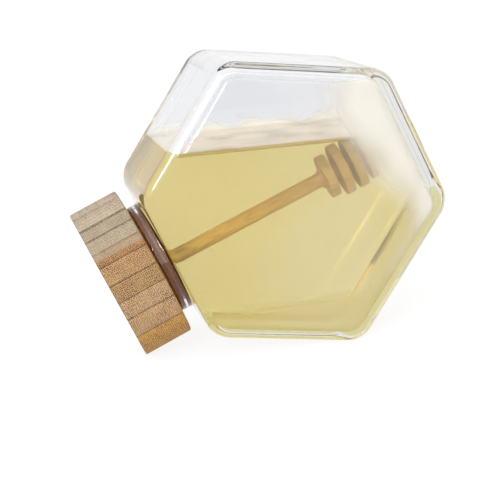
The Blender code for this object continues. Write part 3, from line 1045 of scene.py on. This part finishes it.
glue_half = GLUE_HALF_WIDTH / (2 * LID_RADIUS)
glue_stops = [(0.0, grey(0.0))]
for start, tone, glue in STRIPS[1:]:
    glue_stops += [(start - glue_half, grey(0)), (start, grey(glue)), (start + glue_half, grey(0))]
glue_line = node(bamboo, "ValToRGB", {"Fac": strip_share})
set_stops(glue_line, glue_stops)
dashes = node(bamboo, "TexNoise", {"Vector": bamboo_place, "Scale": 1 / DASH_LENGTH, "Detail": 1.0})
dashed = node(bamboo, "MapRange", {"Value": dashes, "From Min": 0.35, "From Max": 0.6, "To Min": 0.6})
glue_share = node(bamboo, "Math", {0: glue_line, 1: dashed}, operation="MULTIPLY")
print("the glue lines have", len(glue_stops), "stops")

# %% The bundles of fibre
bundle_scale = (1 / BUNDLE_PITCH, 1 / BUNDLE_LENGTH, 1 / BUNDLE_PITCH)
bundle_place = node(bamboo, "VectorMath", {0: bamboo_place, 1: bundle_scale}, operation="MULTIPLY")
bundle_axes = node(bamboo, "SeparateXYZ", {"Vector": bundle_place}).outputs
end_grain = node(bamboo, "CombineXYZ", {"X": bundle_axes["X"], "Y": bundle_axes["Z"]})
bundles = node(
    bamboo,
    "TexVoronoi",
    {"Vector": end_grain, "Scale": 1.0, "Randomness": 0.45},
    feature="F1",
    voronoi_dimensions="2D",
)
dots = node(bamboo, "ValToRGB", {"Fac": bundles.outputs["Distance"]})
set_stops(dots, [(0.20, grey(1.0)), (0.42, grey(0.0))])
# Some places have fainter dots than others, and so have the pale upper strips.
dot_depth = node(
    bamboo, "MapRange", {"Value": strip_waves, "From Min": 0.35, "From Max": 0.65, "To Min": 0.6}
)
older_strips = node(
    bamboo, "MapRange", {"Value": strip_share, "From Min": 0.22, "From Max": 0.25, "To Min": 0.45}
)
dot_strength = node(bamboo, "Math", {0: dot_depth, 1: older_strips}, operation="MULTIPLY")
dot_share = node(bamboo, "Math", {0: dots, 1: dot_strength}, operation="MULTIPLY")
print("bundles are", 1000 * BUNDLE_PITCH, "mm apart")

# %% Put the bamboo together
BELOW_RIM_FADE = (0.0006, 0.0002)  # below the lid's underside: darker, and plain again

blotches = node(bamboo, "TexNoise", {"Vector": bundle_place, "Scale": 0.22, "Detail": 3.0})
mottled = node(
    bamboo,
    "MapRange",
    {"Value": blotches, "From Min": 0.3, "From Max": 0.7, "To Min": 0.88, "To Max": 1.08},
)
strip_varied = node(bamboo, "VectorMath", {0: strip_tone, "Scale": mottled}, operation="SCALE")
with_dots = node(
    bamboo,
    "Mix",
    {MIX_SHARE: dot_share, MIX_UNDER: strip_varied, MIX_OVER: hex_colour("5E3A22")},
    data_type="RGBA",
    blend_type="MULTIPLY",
).outputs[MIX_RESULT]
with_glue = node(
    bamboo,
    "Mix",
    {MIX_SHARE: glue_share, MIX_UNDER: with_dots, MIX_OVER: hex_colour("1E120C")},
    data_type="RGBA",
).outputs[MIX_RESULT]
above_rim_share = node(
    bamboo,
    "MapRange",
    {
        "Value": bamboo_axes["Z"],
        "From Min": LID_BOTTOM_Z - BELOW_RIM_FADE[0],
        "From Max": LID_BOTTOM_Z - BELOW_RIM_FADE[1],
    },
)
# Darker and browner below the lid's rim.
plug_darkening = node(bamboo, "ValToRGB", {"Fac": above_rim_share})
set_stops(plug_darkening, [(0.0, hex_colour("AC7C4C")), (1.0, grey(1.0))])
with_plug_darkening = node(
    bamboo,
    "Mix",
    {MIX_SHARE: 1.0, MIX_UNDER: with_glue, MIX_OVER: plug_darkening},
    data_type="RGBA",
    blend_type="MULTIPLY",
).outputs[MIX_RESULT]
pits = node(bamboo, "Math", {0: dot_share, 1: glue_share}, operation="MAXIMUM")
bamboo_look = {
    "Base Color": with_plug_darkening,
    "Roughness": 0.75,
    "IOR": 1.5,
    "Specular IOR Level": 0.25,
    "Normal": node(bamboo, "Bump", {"Height": pits, "Distance": PIT_DEPTH}, invert=True),
}
end_material(bamboo, bamboo_look)
finish_piece(lid, bamboo, "laminated_bamboo", "bamboo_lid")

# %% [markdown]
# ## The seal
#
# A soft silicone ring sits in the plug's groove, and its two ribs are squeezed against the bore. So it
# reaches 0.1 mm into the glass: with no film of air between them, it shows its colour and no silvery gap. Its
# dark brown is painted shade: it stands in for the wood of the plug behind it, dark in the shade under the
# lid. It is turned too, as a tube: a disc with a hole cut through it.

# %% Model the seal
SEAL_RIB_DEPTH = 0.0002
SEAL_SQUEEZE = 0.0001
GROOVE_START = 1.25  # the groove between the ribs has its full depth this many rib heights from each end
seal_outer = BORE_RADIUS + SEAL_SQUEEZE
seal_inner = SEAL_INNER_RADIUS - CLEAR - SEAL_SQUEEZE
rib = SEAL_HEIGHT / 3
seal = turn(
    "seal_ring_ribbed",
    [
        (seal_outer, SEAL_TOP_Z),
        (seal_outer, SEAL_TOP_Z - rib),
        (seal_outer - SEAL_RIB_DEPTH, SEAL_TOP_Z - rib * GROOVE_START),
        (seal_outer - SEAL_RIB_DEPTH, SEAL_BOTTOM_Z + rib * GROOVE_START),
        (seal_outer, SEAL_BOTTOM_Z + rib),
        (seal_outer, SEAL_BOTTOM_Z),
    ],
)
seal_hole = turn(
    "seal_hole",
    [(seal_inner, SEAL_TOP_Z + CUT_PAST), (seal_inner, SEAL_BOTTOM_Z - CUT_PAST)],
)
apply_boolean(seal, "DIFFERENCE", seal_hole)
smooth(seal, 35)
lay_down(seal)

silicone = new_material("silicone_painted_shade_brown")
# Painted shade: the dark brown stands in for the shaded plug behind the ring.
silicone_look = {
    "Base Color": hex_colour("854810"),
    "Roughness": 0.35,
    "IOR": 1.41,
    "Specular IOR Level": 0.0,
}
end_material(silicone, silicone_look)
finish_piece(seal, silicone, "clear_silicone", "seal_ring")

# %% [markdown]
# ## The honey dipper
#
# A dipper is turned from one stick of beech: a straight handle, a short collar, and a barrel of thick
# ridges whose grooves hold the honey. It stands a little loose in its hole, so its head hangs down by one
# degree.

# %% Model the dipper
HANDLE_RADIUS = 0.0028
HEAD_START_Z = -0.0186
COLLAR_LENGTH = 0.0012
RIDGE_PITCH = 0.00555
RIDGE_THICKNESS = 0.0037
RIDGE_RADII = (0.0084, 0.0100, 0.0100, 0.0092, 0.0077)
RIDGE_EASE = 0.0005
HEAD_CORE_RADIUS = 0.0038
TIP_LENGTH = 0.0012
DIPPER_DROOP = math.radians(1.0)
DIPPER_TOP_Z = DIPPER_HOLE_TOP_Z - CLEAR
DIPPER_PIVOT_Z = PLUG_END_Z + DIPPER_HOLE_DEPTH / 2

half = RIDGE_THICKNESS / 2
collar_z = HEAD_START_Z + half + COLLAR_LENGTH
rings = [(HANDLE_RADIUS, DIPPER_TOP_Z), (HANDLE_RADIUS, collar_z), (HEAD_CORE_RADIUS, collar_z)]
for number, radius in enumerate(RIDGE_RADII):
    top = HEAD_START_Z - number * RIDGE_PITCH + half
    bottom = top - RIDGE_THICKNESS
    rings += [(HEAD_CORE_RADIUS, top)]
    rings += arc(radius - RIDGE_EASE, top - RIDGE_EASE, RIDGE_EASE, 90, 0, 4)
    rings += arc(radius - RIDGE_EASE, bottom + RIDGE_EASE, RIDGE_EASE, 0, -90, 4)
    rings += [(HEAD_CORE_RADIUS, bottom)]
rings += [(HEAD_CORE_RADIUS / 2, bottom - TIP_LENGTH)]
dipper = turn("dipper_turned", rings, steps=64)
smooth(dipper, 35)
pivot = Matrix.Translation((0, 0, DIPPER_PIVOT_Z))
dipper.matrix_world = pivot @ Matrix.Rotation(DIPPER_DROOP, 4, "Y") @ pivot.inverted()
lay_down(dipper)

# %% [markdown]
# ## Turned beech
#
# Beech is a pale tan, close-grained wood, sanded and left bare. Up close it is full of fine dark flecks,
# about 2 mm long, that run with the grain, here along the handle. Broad, soft bands a few millimetres apart
# are the yearly rings. On the faces of the ridges the same flecks are cut across and show as dots.

# %% Make the beech
FLECK_WIDTH = 0.00035
FLECK_LENGTH = 0.0022
FLECK_DEPTH = 0.00006
RING_WIDTH = 0.0018

beech = new_material("turned_beech")
beech_place = upright(beech)
fleck_scale = (1 / FLECK_WIDTH, 1 / FLECK_WIDTH, 1 / FLECK_LENGTH)
fleck_place = node(beech, "VectorMath", {0: beech_place, 1: fleck_scale}, operation="MULTIPLY")
flecks = node(beech, "TexNoise", {"Vector": fleck_place, "Scale": 0.5, "Detail": 2.0})
fleck_share = node(beech, "ValToRGB", {"Fac": flecks})
set_stops(fleck_share, [(0.5, grey(0.0)), (0.68, grey(0.55))])
ring_scale = (1 / RING_WIDTH, 0.35 / RING_WIDTH, 0.06 / RING_WIDTH)
ring_place = node(beech, "VectorMath", {0: beech_place, 1: ring_scale}, operation="MULTIPLY")
rings_of_years = node(beech, "TexNoise", {"Vector": ring_place, "Scale": 1.0, "Detail": 1.0})
plain_beech = node(beech, "ValToRGB", {"Fac": rings_of_years})
set_stops(plain_beech, [(0.3, hex_colour("E5C785")), (0.7, hex_colour("DAB56F"))])
flecked = node(
    beech,
    "Mix",
    {MIX_SHARE: fleck_share, MIX_UNDER: plain_beech, MIX_OVER: hex_colour("BA8240")},
    data_type="RGBA",
).outputs[MIX_RESULT]
beech_look = {
    "Base Color": flecked,
    "Roughness": 0.6,
    "IOR": 1.5,
    "Normal": node(beech, "Bump", {"Height": flecks, "Distance": FLECK_DEPTH, "Strength": 0.6}),
}
end_material(beech, beech_look)
finish_piece(dipper, beech, "turned_beech", "dipper")
